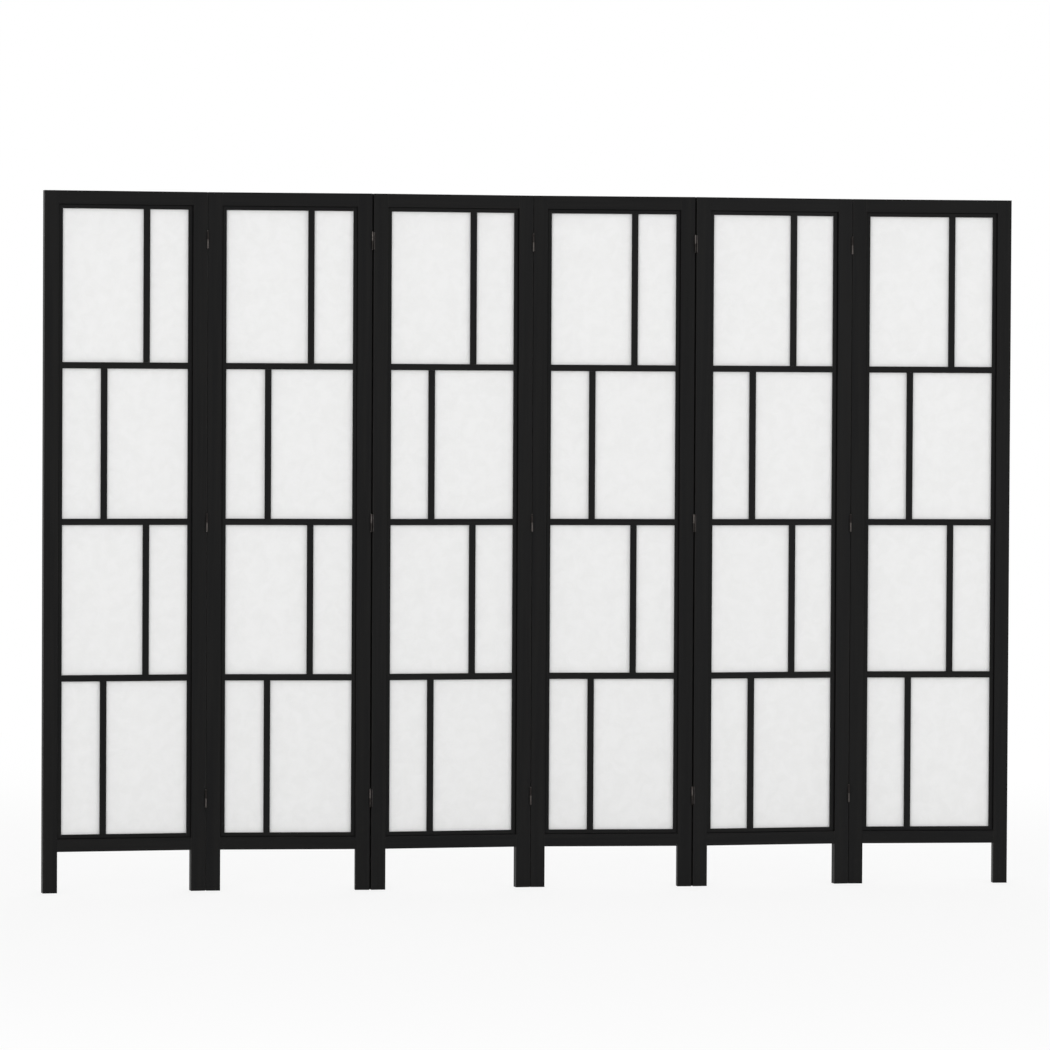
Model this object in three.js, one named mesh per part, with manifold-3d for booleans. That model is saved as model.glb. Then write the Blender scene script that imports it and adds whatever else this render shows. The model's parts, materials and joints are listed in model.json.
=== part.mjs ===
// Shoji folding screen of six panels. Millimetres, +Z up, front towards -Y, feet on z = 0.
//
// A panel is a frame of two stiles and two rails around a lattice, with paper on the lattice's back.
// The stiles run down past the bottom rail and end as feet. Each pair of neighbouring panels is joined
// by three double-acting hinges, so that it folds to the front or to the back.
//
// A panel's own frame has its origin at the panel's lower left front corner: x runs along the panel,
// y from its front to its back. A hinge's own frame has its origin on the front pin's axis, and its
// back pin lies straight behind it in y.

import * as THREE from 'three';
import { mergeVertices } from 'three/addons/utils/BufferGeometryUtils.js';
import Module from 'manifold-3d';

// The whole screen
const PANEL_COUNT = 6;
const PANEL_WIDTH = 400;
const PANEL_HEIGHT = 1700;
const PANEL_GAP = 1; // between the edges of neighbouring panels when the screen is flat
const REST_ANGLE = THREE.MathUtils.degToRad(4); // each panel's turn out of the screen's line

// The frame
const FRAME_DEPTH = 25;
const STILE_WIDTH = 35;
const TOP_RAIL_HEIGHT = 32.5;
const BOTTOM_RAIL_HEIGHT = 30.5;
const FOOT_HEIGHT = 100; // from the floor to the bottom rail
const TENON_LENGTH = 20;
const TENON_THICKNESS = 9;
const TENON_SHOULDER = 7; // from a rail's upper and lower faces to its tenon
const JOINT_CLEARANCE = 0.3; // between glued pieces and around each tenon
const OVERCUT = 1; // how far a cut runs out past the face it opens

// The lattice and the paper
const LATTICE_CLEARANCE = 0.6; // the groove all round the lattice
const LATTICE_RECESS = 6; // from the frame's front to the lattice's
const LATTICE_DEPTH = 7;
const BORDER_WIDTH = 10;
const BAR_WIDTH = 15.5;
const ROW_COUNT = 4;
const BAR_OFFSET = 52; // of each short vertical bar from the panel's middle
const PAPER_THICKNESS = 0.5;
const PAPER_MARGIN = 1; // from the lattice's outer edge to the paper's

// The hinges
const HINGE_HEIGHT = 42;
const LOWER_HINGE_ABOVE_FLOOR = 225;
const UPPER_HINGE_BELOW_TOP = 115;
const MIDDLE_HINGE_DROP = 8; // below the point halfway between the other two
const KNUCKLE_RADIUS = 2.2;
const KNUCKLE_SIDES = 12;
const KNUCKLE_CLEARANCE = 0.3; // from a knuckle to the plane of the panel's face
const KNUCKLE_SPACING = 0.4; // between the two knuckles on one pin
const PIN_RADIUS = 0.9;
const PIN_CLEARANCE = 0.3; // between a pin and the bore that turns on it
const BORE_SIDES = 8;
const LEAF_THICKNESS = 1;
const LINK_THICKNESS = 1;
const LINK_CLEARANCE = 0.3; // between the link and the leaf on each side of it
const LINK_END_CLEARANCE = 0.4; // between the link's plate and a leaf's knuckle

// Worked out from the sizes above
const OPENING_BOTTOM = FOOT_HEIGHT + BOTTOM_RAIL_HEIGHT;
const OPENING_TOP = PANEL_HEIGHT - TOP_RAIL_HEIGHT;
const PAPER_FRONT = LATTICE_RECESS + LATTICE_DEPTH + JOINT_CLEARANCE;
const PIN_STANDOFF = KNUCKLE_RADIUS + KNUCKLE_CLEARANCE; // from the panel's face to a pin's axis
const PIN_SPAN = FRAME_DEPTH + 2 * PIN_STANDOFF; // from the front pin's axis to the back pin's
const LEAF_FACE = LINK_THICKNESS / 2 + LINK_CLEARANCE; // from the pins' plane to a leaf's face
const BORE_RADIUS = (PIN_RADIUS + PIN_CLEARANCE) / Math.cos(Math.PI / BORE_SIDES);
const LOWER_HINGE = LOWER_HINGE_ABOVE_FLOOR;
const UPPER_HINGE = PANEL_HEIGHT - UPPER_HINGE_BELOW_TOP;
const HINGES = [
  { name: 'lower', height: LOWER_HINGE },
  { name: 'middle', height: (LOWER_HINGE + UPPER_HINGE) / 2 - MIDDLE_HINGE_DROP },
  { name: 'upper', height: UPPER_HINGE },
];

const blackPaint = new THREE.MeshStandardMaterial({
  color: 0x202020, roughness: 0.55, metalness: 0, flatShading: true,
});
const whitePaper = new THREE.MeshStandardMaterial({
  color: 0xececec, roughness: 0.9, metalness: 0, flatShading: true,
});
const darkBronze = new THREE.MeshStandardMaterial({
  color: 0x5c4b40, roughness: 0.4, metalness: 0.9, flatShading: true,
});

const wasm = await Module();
wasm.setup();

// A box between two limits along each axis.
function block([x0, x1], [y0, y1], [z0, z1]) {
  const box = new THREE.BoxGeometry(x1 - x0, y1 - y0, z1 - z0);
  return box.translate((x0 + x1) / 2, (y0 + y1) / 2, (z0 + z1) / 2);
}

// An upright rod around the axis at x = 0 and the given y.
function rod(radius, sides, y, [z0, z1]) {
  const cylinder = new THREE.CylinderGeometry(radius, radius, z1 - z0, sides);
  return cylinder.rotateX(Math.PI / 2).translate(0, y, (z0 + z1) / 2);
}

function toSolid(geometry) {
  const bare = geometry.clone();
  bare.deleteAttribute('normal');
  bare.deleteAttribute('uv');
  const merged = mergeVertices(bare);
  return new wasm.Manifold(new wasm.Mesh({
    numProp: 3,
    vertProperties: merged.attributes.position.array,
    triVerts: Uint32Array.from(merged.index.array),
  }));
}

function toGeometry(solid) {
  const { vertProperties, triVerts } = solid.getMesh();
  const geometry = new THREE.BufferGeometry();
  geometry.setAttribute('position', new THREE.BufferAttribute(vertProperties, 3));
  geometry.setIndex(new THREE.BufferAttribute(triVerts, 1));
  return geometry;
}

const joined = (...geometries) => geometries.map(toSolid).reduce((all, one) => all.add(one));

function namedMesh(name, geometry, material) {
  const mesh = new THREE.Mesh(geometry, material.clone());
  mesh.name = name;
  return mesh;
}

// A hinge's height is shared by two knuckles on each pin. On every other line the hinge is turned
// round, so the knuckle of the front leaf is the lower one on odd lines and the upper one on even lines.
function hingeHalves(line, height) {
  const lower = [height - HINGE_HEIGHT / 2, height - KNUCKLE_SPACING / 2];
  const upper = [height + KNUCKLE_SPACING / 2, height + HINGE_HEIGHT / 2];
  return line % 2 ? { leaf: lower, link: upper } : { leaf: upper, link: lower };
}

// The leaf that carries the front pin, in the hinge's frame. It lies on the left of the pins.
function frontLeaf({ leaf, link }) {
  const plate = [-LEAF_FACE - LEAF_THICKNESS, -LEAF_FACE];
  const bottom = Math.min(leaf[0], link[0]);
  const pinTop = Math.max(leaf[1], link[1]);
  return joined(
    block(plate, [PIN_STANDOFF, PIN_SPAN - PIN_STANDOFF], [bottom, pinTop]),
    block(plate, [0, PIN_SPAN / 2], leaf),
    rod(KNUCKLE_RADIUS, KNUCKLE_SIDES, 0, leaf),
    rod(PIN_RADIUS, BORE_SIDES, 0, [bottom, pinTop]),
  );
}

// The leaf that carries the back pin is the same piece turned round, with its knuckle on the other half.
function backLeaf({ leaf, link }) {
  return frontLeaf({ leaf: link, link: leaf }).rotate([0, 0, 180]).translate([0, PIN_SPAN, 0]);
}

// The link between the two leaves, in the hinge's frame.
function linkGeometry({ leaf, link }) {
  const plate = [-LINK_THICKNESS / 2, LINK_THICKNESS / 2];
  const end = KNUCKLE_RADIUS + LINK_END_CLEARANCE;
  const root = (BORE_RADIUS + KNUCKLE_RADIUS) / 2; // inside the wall of the link's own knuckle
  const height = [Math.min(leaf[0], link[0]), Math.max(leaf[1], link[1])];
  const outside = joined(
    block(plate, [end, PIN_SPAN - end], height),
    block(plate, [root, PIN_SPAN / 2], link),
    block(plate, [PIN_SPAN / 2, PIN_SPAN - root], leaf),
    rod(KNUCKLE_RADIUS, KNUCKLE_SIDES, 0, link),
    rod(KNUCKLE_RADIUS, KNUCKLE_SIDES, PIN_SPAN, leaf),
  );
  const bores = joined(
    rod(BORE_RADIUS, BORE_SIDES, 0, height),
    rod(BORE_RADIUS, BORE_SIDES, PIN_SPAN, height),
  );
  return toGeometry(outside.subtract(bores));
}

const LEFT = { x: [0, STILE_WIDTH], inside: STILE_WIDTH, outside: 0, into: -1 };
const RIGHT = {
  x: [PANEL_WIDTH - STILE_WIDTH, PANEL_WIDTH],
  inside: PANEL_WIDTH - STILE_WIDTH,
  outside: PANEL_WIDTH,
  into: 1,
};

const ordered = (a, b) => [Math.min(a, b), Math.max(a, b)];

// The height of the tenon of a rail that fills the given height.
const tenonHeight = ([low, high]) => [low + TENON_SHOULDER, high - TENON_SHOULDER];

const tenonDepth = [(FRAME_DEPTH - TENON_THICKNESS) / 2, (FRAME_DEPTH + TENON_THICKNESS) / 2];

const widened = ([low, high], by) => [low - by, high + by];

const RAILS = {
  top: [OPENING_TOP, PANEL_HEIGHT],
  bottom: [FOOT_HEIGHT, OPENING_BOTTOM],
};

// A stile with its two mortises, and on a hinged edge the hinge leaves let into it.
function stileGeometry(side, line) {
  let stile = toSolid(block(side.x, [0, FRAME_DEPTH], [0, PANEL_HEIGHT]));
  for (const rail of Object.values(RAILS)) {
    const reach = side.inside + side.into * (TENON_LENGTH + JOINT_CLEARANCE);
    const mortise = block(
      ordered(side.inside - side.into * OVERCUT, reach),
      widened(tenonDepth, JOINT_CLEARANCE),
      widened(tenonHeight(rail), JOINT_CLEARANCE),
    );
    stile = stile.subtract(toSolid(mortise));
  }
  if (!line) return toGeometry(stile);

  const pins = side.outside + side.into * PANEL_GAP / 2;
  for (const { height } of HINGES) {
    const halves = hingeHalves(line, height);
    const recess = block(
      ordered(pins, pins - side.into * LEAF_FACE),
      widened([0, FRAME_DEPTH], OVERCUT),
      widened([height - HINGE_HEIGHT / 2, height + HINGE_HEIGHT / 2], KNUCKLE_SPACING),
    );
    const leaf = side === RIGHT ? frontLeaf(halves) : backLeaf(halves);
    stile = stile.subtract(toSolid(recess)).add(leaf.translate([pins, -PIN_STANDOFF, 0]));
  }
  return toGeometry(stile);
}

// A rail between the stiles, with a stub tenon at each end.
function railGeometry(height) {
  const between = [STILE_WIDTH + JOINT_CLEARANCE, PANEL_WIDTH - STILE_WIDTH - JOINT_CLEARANCE];
  return toGeometry(joined(
    block(between, [0, FRAME_DEPTH], height),
    block(widened([STILE_WIDTH, PANEL_WIDTH - STILE_WIDTH], TENON_LENGTH), tenonDepth, tenonHeight(height)),
  ));
}

const LATTICE_X = [STILE_WIDTH + LATTICE_CLEARANCE, PANEL_WIDTH - STILE_WIDTH - LATTICE_CLEARANCE];
const LATTICE_Z = [OPENING_BOTTOM + LATTICE_CLEARANCE, OPENING_TOP - LATTICE_CLEARANCE];

// The lattice is one flat grille. Its windows lie in rows, and a vertical bar parts each row in two.
// The bar stands right of the middle in the top row, left of it in the next, and so on down.
function latticeGeometry() {
  const depth = [LATTICE_RECESS, LATTICE_RECESS + LATTICE_DEPTH];
  const [left, right] = widened(LATTICE_X, -BORDER_WIDTH);
  const [bottom, top] = widened(LATTICE_Z, -BORDER_WIDTH);
  const pitch = (top - bottom) / ROW_COUNT;
  const windows = [];
  for (let row = 0; row < ROW_COUNT; row += 1) {
    const high = top - row * pitch - (row > 0 ? BAR_WIDTH / 2 : 0);
    const low = top - (row + 1) * pitch + (row < ROW_COUNT - 1 ? BAR_WIDTH / 2 : 0);
    const bar = PANEL_WIDTH / 2 + (row % 2 ? -BAR_OFFSET : BAR_OFFSET);
    windows.push(
      block([left, bar - BAR_WIDTH / 2], widened(depth, OVERCUT), [low, high]),
      block([bar + BAR_WIDTH / 2, right], widened(depth, OVERCUT), [low, high]),
    );
  }
  return toGeometry(toSolid(block(LATTICE_X, depth, LATTICE_Z)).subtract(joined(...windows)));
}

function paperGeometry() {
  return block(
    widened(LATTICE_X, -PAPER_MARGIN),
    [PAPER_FRONT, PAPER_FRONT + PAPER_THICKNESS],
    widened(LATTICE_Z, -PAPER_MARGIN),
  );
}

function panelGroup(number) {
  const hingeOnLeft = number > 1 ? number - 1 : 0;
  const hingeOnRight = number < PANEL_COUNT ? number : 0;
  const piece = (name, geometry, material) => namedMesh(`panel_${number}_${name}`, geometry, material);
  const panel = new THREE.Group();
  panel.add(
    piece('left_stile', stileGeometry(LEFT, hingeOnLeft), blackPaint),
    piece('right_stile', stileGeometry(RIGHT, hingeOnRight), blackPaint),
    piece('top_rail', railGeometry(RAILS.top), blackPaint),
    piece('bottom_rail', railGeometry(RAILS.bottom), blackPaint),
    piece('lattice', latticeGeometry(), blackPaint),
    piece('paper', paperGeometry(), whitePaper),
  );
  return panel;
}

// One hinge line: its three links in a group that turns on the front pins, and a group inside it that
// turns on the back pins and carries the next panel.
function hingeLine(line, nextPanel) {
  const frontPins = new THREE.Group();
  for (const { name, height } of HINGES) {
    const link = linkGeometry(hingeHalves(line, height));
    frontPins.add(namedMesh(`hinge_${line}_${name}_link`, link, darkBronze));
  }
  const backPins = new THREE.Group();
  backPins.name = `back_pins_${line}`;
  backPins.position.y = PIN_SPAN;
  frontPins.name = `front_pins_${line}`;
  frontPins.position.set(PANEL_WIDTH + PANEL_GAP / 2, -PIN_STANDOFF, 0);
  frontPins.add(backPins);
  nextPanel.position.set(PANEL_GAP / 2, -PIN_STANDOFF - FRAME_DEPTH, 0);
  backPins.add(nextPanel);

  // At rest the odd lines are a little open at the front pins, and the even lines at the back pins.
  if (line % 2) frontPins.rotation.z = -2 * REST_ANGLE;
  else backPins.rotation.z = 2 * REST_ANGLE;
  return frontPins;
}

const firstPanel = panelGroup(1);
firstPanel.rotation.z = REST_ANGLE;
let lastPanel = firstPanel;
for (let line = 1; line < PANEL_COUNT; line += 1) {
  const nextPanel = panelGroup(line + 1);
  lastPanel.add(hingeLine(line, nextPanel));
  lastPanel = nextPanel;
}

// The origin is on the floor, at the middle of the screen's length and depth.
const screen = new THREE.Group();
screen.add(firstPanel);
const middle = new THREE.Box3().setFromObject(screen, true).getCenter(new THREE.Vector3());
firstPanel.position.set(-middle.x, -middle.y, 0);

export default screen;
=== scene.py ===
"""Looks of a shoji folding screen of six panels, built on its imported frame. All sizes are in metres.

A panel's own frame has its origin at the panel's lower left front corner: x runs along the panel,
y from its front to its back and z up. A hinge's own frame has its origin on the front pin's axis at
half the hinge's height, and its back pin lies straight behind it in y.
"""

import json
import logging
import math
from dataclasses import dataclass, field, replace
from enum import Enum
from typing import Any, Iterable, Optional, Sequence, Union

import bpy
import numpy as np
from mathutils import Matrix, Vector
from numpy.typing import NDArray


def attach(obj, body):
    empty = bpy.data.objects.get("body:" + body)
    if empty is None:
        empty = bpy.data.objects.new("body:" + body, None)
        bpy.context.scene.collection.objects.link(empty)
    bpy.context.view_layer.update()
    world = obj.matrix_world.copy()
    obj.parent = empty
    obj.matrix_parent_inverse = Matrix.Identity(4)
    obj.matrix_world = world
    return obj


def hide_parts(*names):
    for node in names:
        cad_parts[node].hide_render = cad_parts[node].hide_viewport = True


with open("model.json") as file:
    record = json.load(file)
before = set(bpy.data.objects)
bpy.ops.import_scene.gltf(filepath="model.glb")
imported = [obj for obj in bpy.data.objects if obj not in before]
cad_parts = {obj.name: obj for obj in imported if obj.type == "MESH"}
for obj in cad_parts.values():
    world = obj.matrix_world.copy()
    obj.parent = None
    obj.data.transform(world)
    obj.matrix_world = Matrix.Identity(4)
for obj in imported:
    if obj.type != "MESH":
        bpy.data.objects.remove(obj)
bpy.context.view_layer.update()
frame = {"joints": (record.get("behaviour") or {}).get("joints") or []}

Points = NDArray[np.float64]
Triple = tuple[float, float, float]
MM = 0.001
IMAGE_WIDTH = 1050

PANEL_COUNT = 6
PANEL_WIDTH = 400.0 * MM
FRAME_DEPTH = 25.0 * MM
REST_TURN = math.radians(4.0)  # each panel's turn out of the screen's line
PANEL_GAP = 1.0 * MM
PIN_STANDOFF = 2.5 * MM  # from a panel's face to the pins' axis
SHARP_ANGLE = math.radians(38.0)  # edges that turn more than this stay crisp
FINE_MARGIN = 0.1 * MM  # from a small edge's rounding to the next point on the flat
ORIGIN: Triple = (0.0, 0.0, 0.0)
X_AXIS, Y_AXIS, Z_AXIS = np.eye(3)

log = logging.getLogger("screen")


class Side(Enum):
    """The two long edges of a panel."""

    LEFT = "left"
    RIGHT = "right"


class HingeHeight(Enum):
    """The three hinges of a hinge line, with the height of each one's middle."""

    LOWER = 0.225
    MIDDLE = 0.897
    UPPER = 1.585


class Half(Enum):
    """The half of a hinge's height on which a knuckle sits."""

    BOTTOM = -1
    TOP = 1

    def other(self) -> "Half":
        """Returns the half that the other knuckle on the same pin takes."""
        return Half.TOP if self is Half.BOTTOM else Half.BOTTOM


# ---- surfaces


@dataclass(frozen=True)
class Place:
    """An origin and a turn about the upright axis."""

    origin: Triple
    turn: float = 0.0

    def carry(self, points: Points) -> Points:
        """Turns points about z by the place's turn and then moves them to its origin.

        Args:
            points: an array whose last axis holds x, y and z.

        Returns:
            The moved points, in an array of the same shape.
        """
        c, s = math.cos(self.turn), math.sin(self.turn)
        x, y, z = np.moveaxis(points, -1, 0)
        return np.stack((x * c - y * s, x * s + y * c, z), -1) + np.asarray(self.origin)


@dataclass
class Shell:
    """One closed surface, kept as arrays until it goes into a mesh.

    quads holds four corners each, and caps the three corners of each triangle that closes an end.
    quad_uv and cap_uv give each corner's place on the surface in metres: along the grain first, then
    across it. worn is 1 on a rounded edge and 0 on the flats between. seam_tone_faces marks the
    quads that take the piece's second material: the hinged edges, whose tone paints light or shade into the
    seams.
    """

    points: Points
    quads: NDArray[np.int64]
    quad_uv: Points
    worn: Points
    caps: NDArray[np.int64] = field(default_factory=lambda: np.empty((0, 3), int))
    cap_uv: Points = field(default_factory=lambda: np.empty((0, 3, 2)))
    board: float = 0.0
    seam_tone_faces: Optional[NDArray[np.bool_]] = None

    def moved(self, place: Place) -> "Shell":
        """Returns a shell with the same faces, carried to a place."""
        return replace(self, points=place.carry(self.points))


def eased_rectangle(
    low: Points, high: Points, ease: float, inset: Points, margin: float, steps: int = 3
) -> tuple[Points, Points]:
    """Rectangles with rounded corners, one for each station of a path.

    Each corner is a quarter circle, centre + r (cos a, sin a) with r = ease - inset, and has one more
    point on the flat on each side of it.

    Args:
        low: the two lower limits, for all stations or one row for each.
        high: the two upper limits, likewise.
        ease: the radius of the corners.
        inset: how far each station's sides are moved inwards.
        margin: from a corner's arc to the extra point on the flat.
        steps: how many segments each corner has.

    Returns:
        The points, counter-clockwise, one row for each station, and for each column 1 on a corner and
        0 on a flat.
    """
    least_share = 0.15  # of the ease, which the corners keep where the inset is deep
    quarter = np.pad(np.linspace(0.0, math.pi / 2, steps + 1), 1, "edge")
    angle = np.array([[math.pi], [1.5 * math.pi], [0.0], [0.5 * math.pi]]) + quarter
    outward = np.stack((np.cos(angle), np.sin(angle)), -1)
    forward = np.stack((-np.sin(angle), np.cos(angle)), -1)
    flat = np.zeros(steps + 3)
    flat[[0, -1]] = -1.0, 1.0
    low, high = np.atleast_2d(low) + inset[:, None], np.atleast_2d(high) - inset[:, None]
    middle, half = (low + high)[:, None] / 2, (high - low)[:, None] / 2
    radius = np.maximum(ease - inset, least_share * ease)[:, None, None]
    corners = np.array([[-1.0, -1.0], [1.0, -1.0], [1.0, 1.0], [-1.0, 1.0]])
    centre = middle + corners * (half - radius)
    loop = centre[:, :, None] + radius[..., None] * outward + forward * (margin * flat)[:, None]
    return loop.reshape(len(low), -1, 2), np.tile(1.0 - abs(flat), 4)


def carried(
    profile: Points,
    path: Points,
    across: Points,
    upward: Points,
    along: Points,
    worn: Optional[Points] = None,
    closed: bool = False,
) -> Shell:
    """A profile carried along a path.

    A point is path_i + u_ij across_i + v_ij upward_i, where (u, v) is the profile. Upward is the
    path's direction crossed with across, so that faces point outwards. A fan of triangles about the
    middle of its loop closes each end, unless the path itself closes.

    Args:
        profile: (stations, columns, 2), counter-clockwise.
        path: (stations, 3).
        across: the profile's first axis, for all stations or one row for each.
        upward: its second axis, likewise.
        along: each station's distance along the path, with a closed path's whole length last.
        worn: (stations, columns), 1 on rounded edges.
        closed: whether the last station joins the first.

    Returns:
        The closed shell.
    """
    rows, columns = profile.shape[:2]
    sideways = profile[..., :1] * np.atleast_2d(across)[:, None]
    points = path[:, None] + sideways + profile[..., 1:] * np.atleast_2d(upward)[:, None]
    i, j = np.arange(rows if closed else rows - 1)[:, None], np.arange(columns)[None]
    here, there, after = i * columns, (i + 1) % rows * columns, (j + 1) % columns
    quads = np.stack((here + j, here + after, there + after, there + j), -1)
    middle = profile[rows // 2]
    around = np.append(0.0, np.cumsum(np.linalg.norm(np.roll(middle, -1, 0) - middle, axis=1)))
    corners = ((i, j), (i, j + 1), (i + 1, j + 1), (i + 1, j))
    uv = np.stack([np.stack(np.broadcast_arrays(along[a], around[b]), -1) for a, b in corners], 2)
    worn = np.zeros(rows * columns) if worn is None else worn.reshape(-1)
    shell = Shell(points.reshape(-1, 3), quads.reshape(-1, 4), uv.reshape(-1, 4, 2), worn)
    if not closed:
        fans, fan_uv = [], []
        for end, (row, a, b) in enumerate(((0, after[0], j[0]), (rows - 1, j[0], after[0]))):
            hub = np.full(columns, rows * columns + end)
            hub_uv = np.tile(profile[row].mean(0), (columns, 1))
            fans.append(np.stack((a + row * columns, b + row * columns, hub), -1))
            fan_uv.append(np.stack((profile[row, a], profile[row, b], hub_uv), 1))
        shell.caps, shell.cap_uv = np.concatenate(fans), np.concatenate(fan_uv)
        shell.points = np.concatenate((shell.points, points[[0, -1]].mean(1)))
        shell.worn = np.append(worn, [0.0, 0.0])
    return shell


class Grain(Enum):
    """The way a board's grain runs, as the order of a panel's axes: along it first, then across."""

    UPRIGHT = (2, 0, 1)
    LEVEL = (0, 1, 2)


def board(
    low: Sequence[float],
    high: Sequence[float],
    grain: Grain,
    ease: float,
    number: float,
    cuts: Iterable[tuple[Side, float, float, float]] = (),
) -> Shell:
    """A straight board with all its edges rounded over: an eased rectangle carried along its grain.

    At distance t from an end, within ease of it, the sides are drawn in by a quarter circle,
    ease (1 - sqrt(1 - (1 - t / ease)^2)), and by no more than 0.8 ease.

    Args:
        low: the lower limits in x, y and z.
        high: the upper limits.
        grain: the way the grain runs.
        ease: the radius of the rounding.
        number: shifts its grain pattern, so no two boards of a piece share one.
        cuts: shallow housings in an upright board, each as its side, depth, lower and upper end.

    Returns:
        The board's shell.
    """
    most_inset, most_margin, step = 0.8 * ease, 1.5 * MM, 0.15 * MM
    low, high = np.asarray(low, float), np.asarray(high, float)
    order = list(grain.value)
    length = (high - low)[order[0]]
    margin = min(most_margin, 0.2 * (high - low).min())
    near = np.append(ease * np.array([0.0, 0.15, 0.5, 1.0]), ease + margin)
    edges = [np.array([end - step, end + step]) - low[2] for _, _, *ends in cuts for end in ends]
    along = np.unique(np.concatenate([near, length - near, *edges]).round(8))
    lower, upper = (np.tile(limit[order[1:]], (len(along), 1)) for limit in (low, high))
    for side, depth, start, end in cuts:
        inside = (along + low[2] > start) & (along + low[2] < end)
        if side is Side.LEFT:
            lower[:, 0] += depth * inside
        else:
            upper[:, 0] -= depth * inside
    nearest = np.minimum(along, length - along)
    short = np.clip(1.0 - nearest / ease, 0.0, 1.0)
    inset = np.minimum(ease * (1.0 - np.sqrt(1.0 - short**2)), most_inset)
    profile, corner = eased_rectangle(lower, upper, ease, inset, margin)
    worn = np.maximum((nearest < ease * 1.01).astype(float)[:, None], corner)
    forward, across, upward = np.eye(3)[order]
    path = (low[order[0]] + along)[:, None] * forward
    return replace(carried(profile, path, across, upward, along, worn), board=number)


def turned_piece(radius: Points, height: Points, sides: int, relief: Optional[Points] = None) -> Shell:
    """A solid of revolution about z: a circle of radius r_i carried up to height h_i.

    Args:
        radius: the radius at each station.
        height: the height of each station.
        sides: the number of points around the circle.
        relief: (stations, sides) heights that are added to the points.

    Returns:
        The closed shell.
    """
    angle = np.linspace(0.0, 2 * math.pi, sides, endpoint=False)
    profile = radius[:, None, None] * np.stack((np.cos(angle), np.sin(angle)), -1)
    run = np.append(0.0, np.cumsum(np.hypot(np.diff(radius), np.diff(height))))
    shell = carried(profile, height[:, None] * Z_AXIS, X_AXIS, Y_AXIS, run)
    if relief is not None:
        shell.points[:, 2] += np.append(relief, relief[[0, -1]].mean(1))
    return shell


def barrel(inner: float, outer: float, low: float, high: float, ease: float, sides: int = 28) -> Shell:
    """A tube about z: an eased rectangle in radius and height, carried round a full circle.

    Station i lies at a = -2 pi i / n, where across is (cos a, sin a, 0) and upward is z.

    Args:
        inner: the bore's radius.
        outer: the outside radius.
        low: the height of the tube's lower end.
        high: the height of its upper end.
        ease: the radius of its edges.
        sides: the number of stations.

    Returns:
        The closed shell, a ring.
    """
    angle = -np.linspace(0.0, 2 * math.pi, sides, endpoint=False)
    flat = np.zeros(sides)
    across = np.stack((np.cos(angle), np.sin(angle), flat), -1)
    profile, corner = eased_rectangle([inner, low], [outer, high], ease, flat, FINE_MARGIN, 2)
    along = np.linspace(0.0, 2 * math.pi * outer, sides + 1)
    worn = np.tile(corner, (sides, 1))
    return carried(profile, np.zeros((sides, 3)), across, Z_AXIS, along, worn, closed=True)


def rolled_knuckle(
    plate_x: float, roll: float, thickness: float, start_y: float, low: float, high: float
) -> Shell:
    """A leaf's end rolled round its pin: a strip's section carried along the line that it bends to.

    The line starts at x = plate_x, moves over to x = -roll by 3t^2 - 2t^3, and then turns round the
    pin's axis at radius roll from 180 to 448 degrees.

    Args:
        plate_x: the middle plane of the leaf's plate.
        roll: the radius of the strip's middle line round the pin.
        thickness: the strip's thickness.
        start_y: where the line leaves the plate.
        low: the height of the knuckle's lower end.
        high: the height of its upper end.

    Returns:
        The closed shell.
    """
    ease, t = 0.22 * MM, np.linspace(0.0, 1.0, 9)[:-1]
    blend = 3 * t**2 - 2 * t**3
    straight = np.stack((plate_x + (-roll - plate_x) * blend, start_y * (1 - t)), -1)
    angle = np.radians(np.linspace(180.0, 448.0, 30))
    line = np.concatenate((straight, roll * np.stack((np.cos(angle), np.sin(angle)), -1)))
    tangent = np.gradient(line, axis=0)
    tangent /= np.linalg.norm(tangent, axis=1)[:, None]
    flat = np.zeros(len(line))
    path = np.column_stack((line, flat))
    across = np.column_stack((-tangent[:, 1], tangent[:, 0], flat))
    limits = [-thickness / 2, low], [thickness / 2, high]
    profile, corner = eased_rectangle(*limits, ease, flat, FINE_MARGIN, 2)
    along = np.append(0.0, np.cumsum(np.linalg.norm(np.diff(line, axis=0), axis=1)))
    return carried(profile, path, across, Z_AXIS, along, np.tile(corner, (len(line), 1)))


def build_object(name: str, shells: Sequence[Shell]) -> bpy.types.Object:
    """Puts shells into one mesh object at the origin.

    Args:
        name: the object's name.
        shells: the closed surfaces.

    Returns:
        The object, with the UV map "grain" and the point attributes "worn" and "board".
    """
    starts = np.cumsum([0] + [len(s.points) for s in shells])
    faces = [f for at, s in zip(starts, shells) for f in (s.quads + at).tolist() + (s.caps + at).tolist()]
    uv = [map_.reshape(-1, 2) for s in shells for map_ in (s.quad_uv, s.cap_uv)]
    mesh = bpy.data.meshes.new(name)
    mesh.from_pydata(np.concatenate([s.points for s in shells]), [], faces)
    mesh.uv_layers.new(name="grain").data.foreach_set("uv", np.concatenate(uv).astype(np.float32).ravel())
    boards = [np.full(len(s.points), s.board) for s in shells]
    for label, values in (("worn", [s.worn for s in shells]), ("board", boards)):
        layer = mesh.attributes.new(label, "FLOAT", "POINT")
        layer.data.foreach_set("value", np.concatenate(values).astype(np.float32))
    counts = [(len(s.quads), len(s.caps)) for s in shells]
    smooth = np.concatenate([np.repeat([True, False], count) for count in counts])
    mesh.polygons.foreach_set("use_smooth", smooth)
    # material 1 on the marked faces: the hinged edges' tone, which paints light or shade into the seams
    finish = np.zeros(len(faces), np.int32)
    for s, (quads, caps), end in zip(shells, counts, np.cumsum(np.sum(counts, 1))):
        if s.seam_tone_faces is not None:
            finish[end - quads - caps : end - caps] = s.seam_tone_faces
    mesh.polygons.foreach_set("material_index", finish)
    mesh.set_sharp_from_angle(angle=SHARP_ANGLE)
    mesh.update()
    made = bpy.data.objects.new(name, mesh)
    bpy.context.scene.collection.objects.link(made)
    return made


# ---- node trees

Number = Union["Value", float, int]


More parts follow.
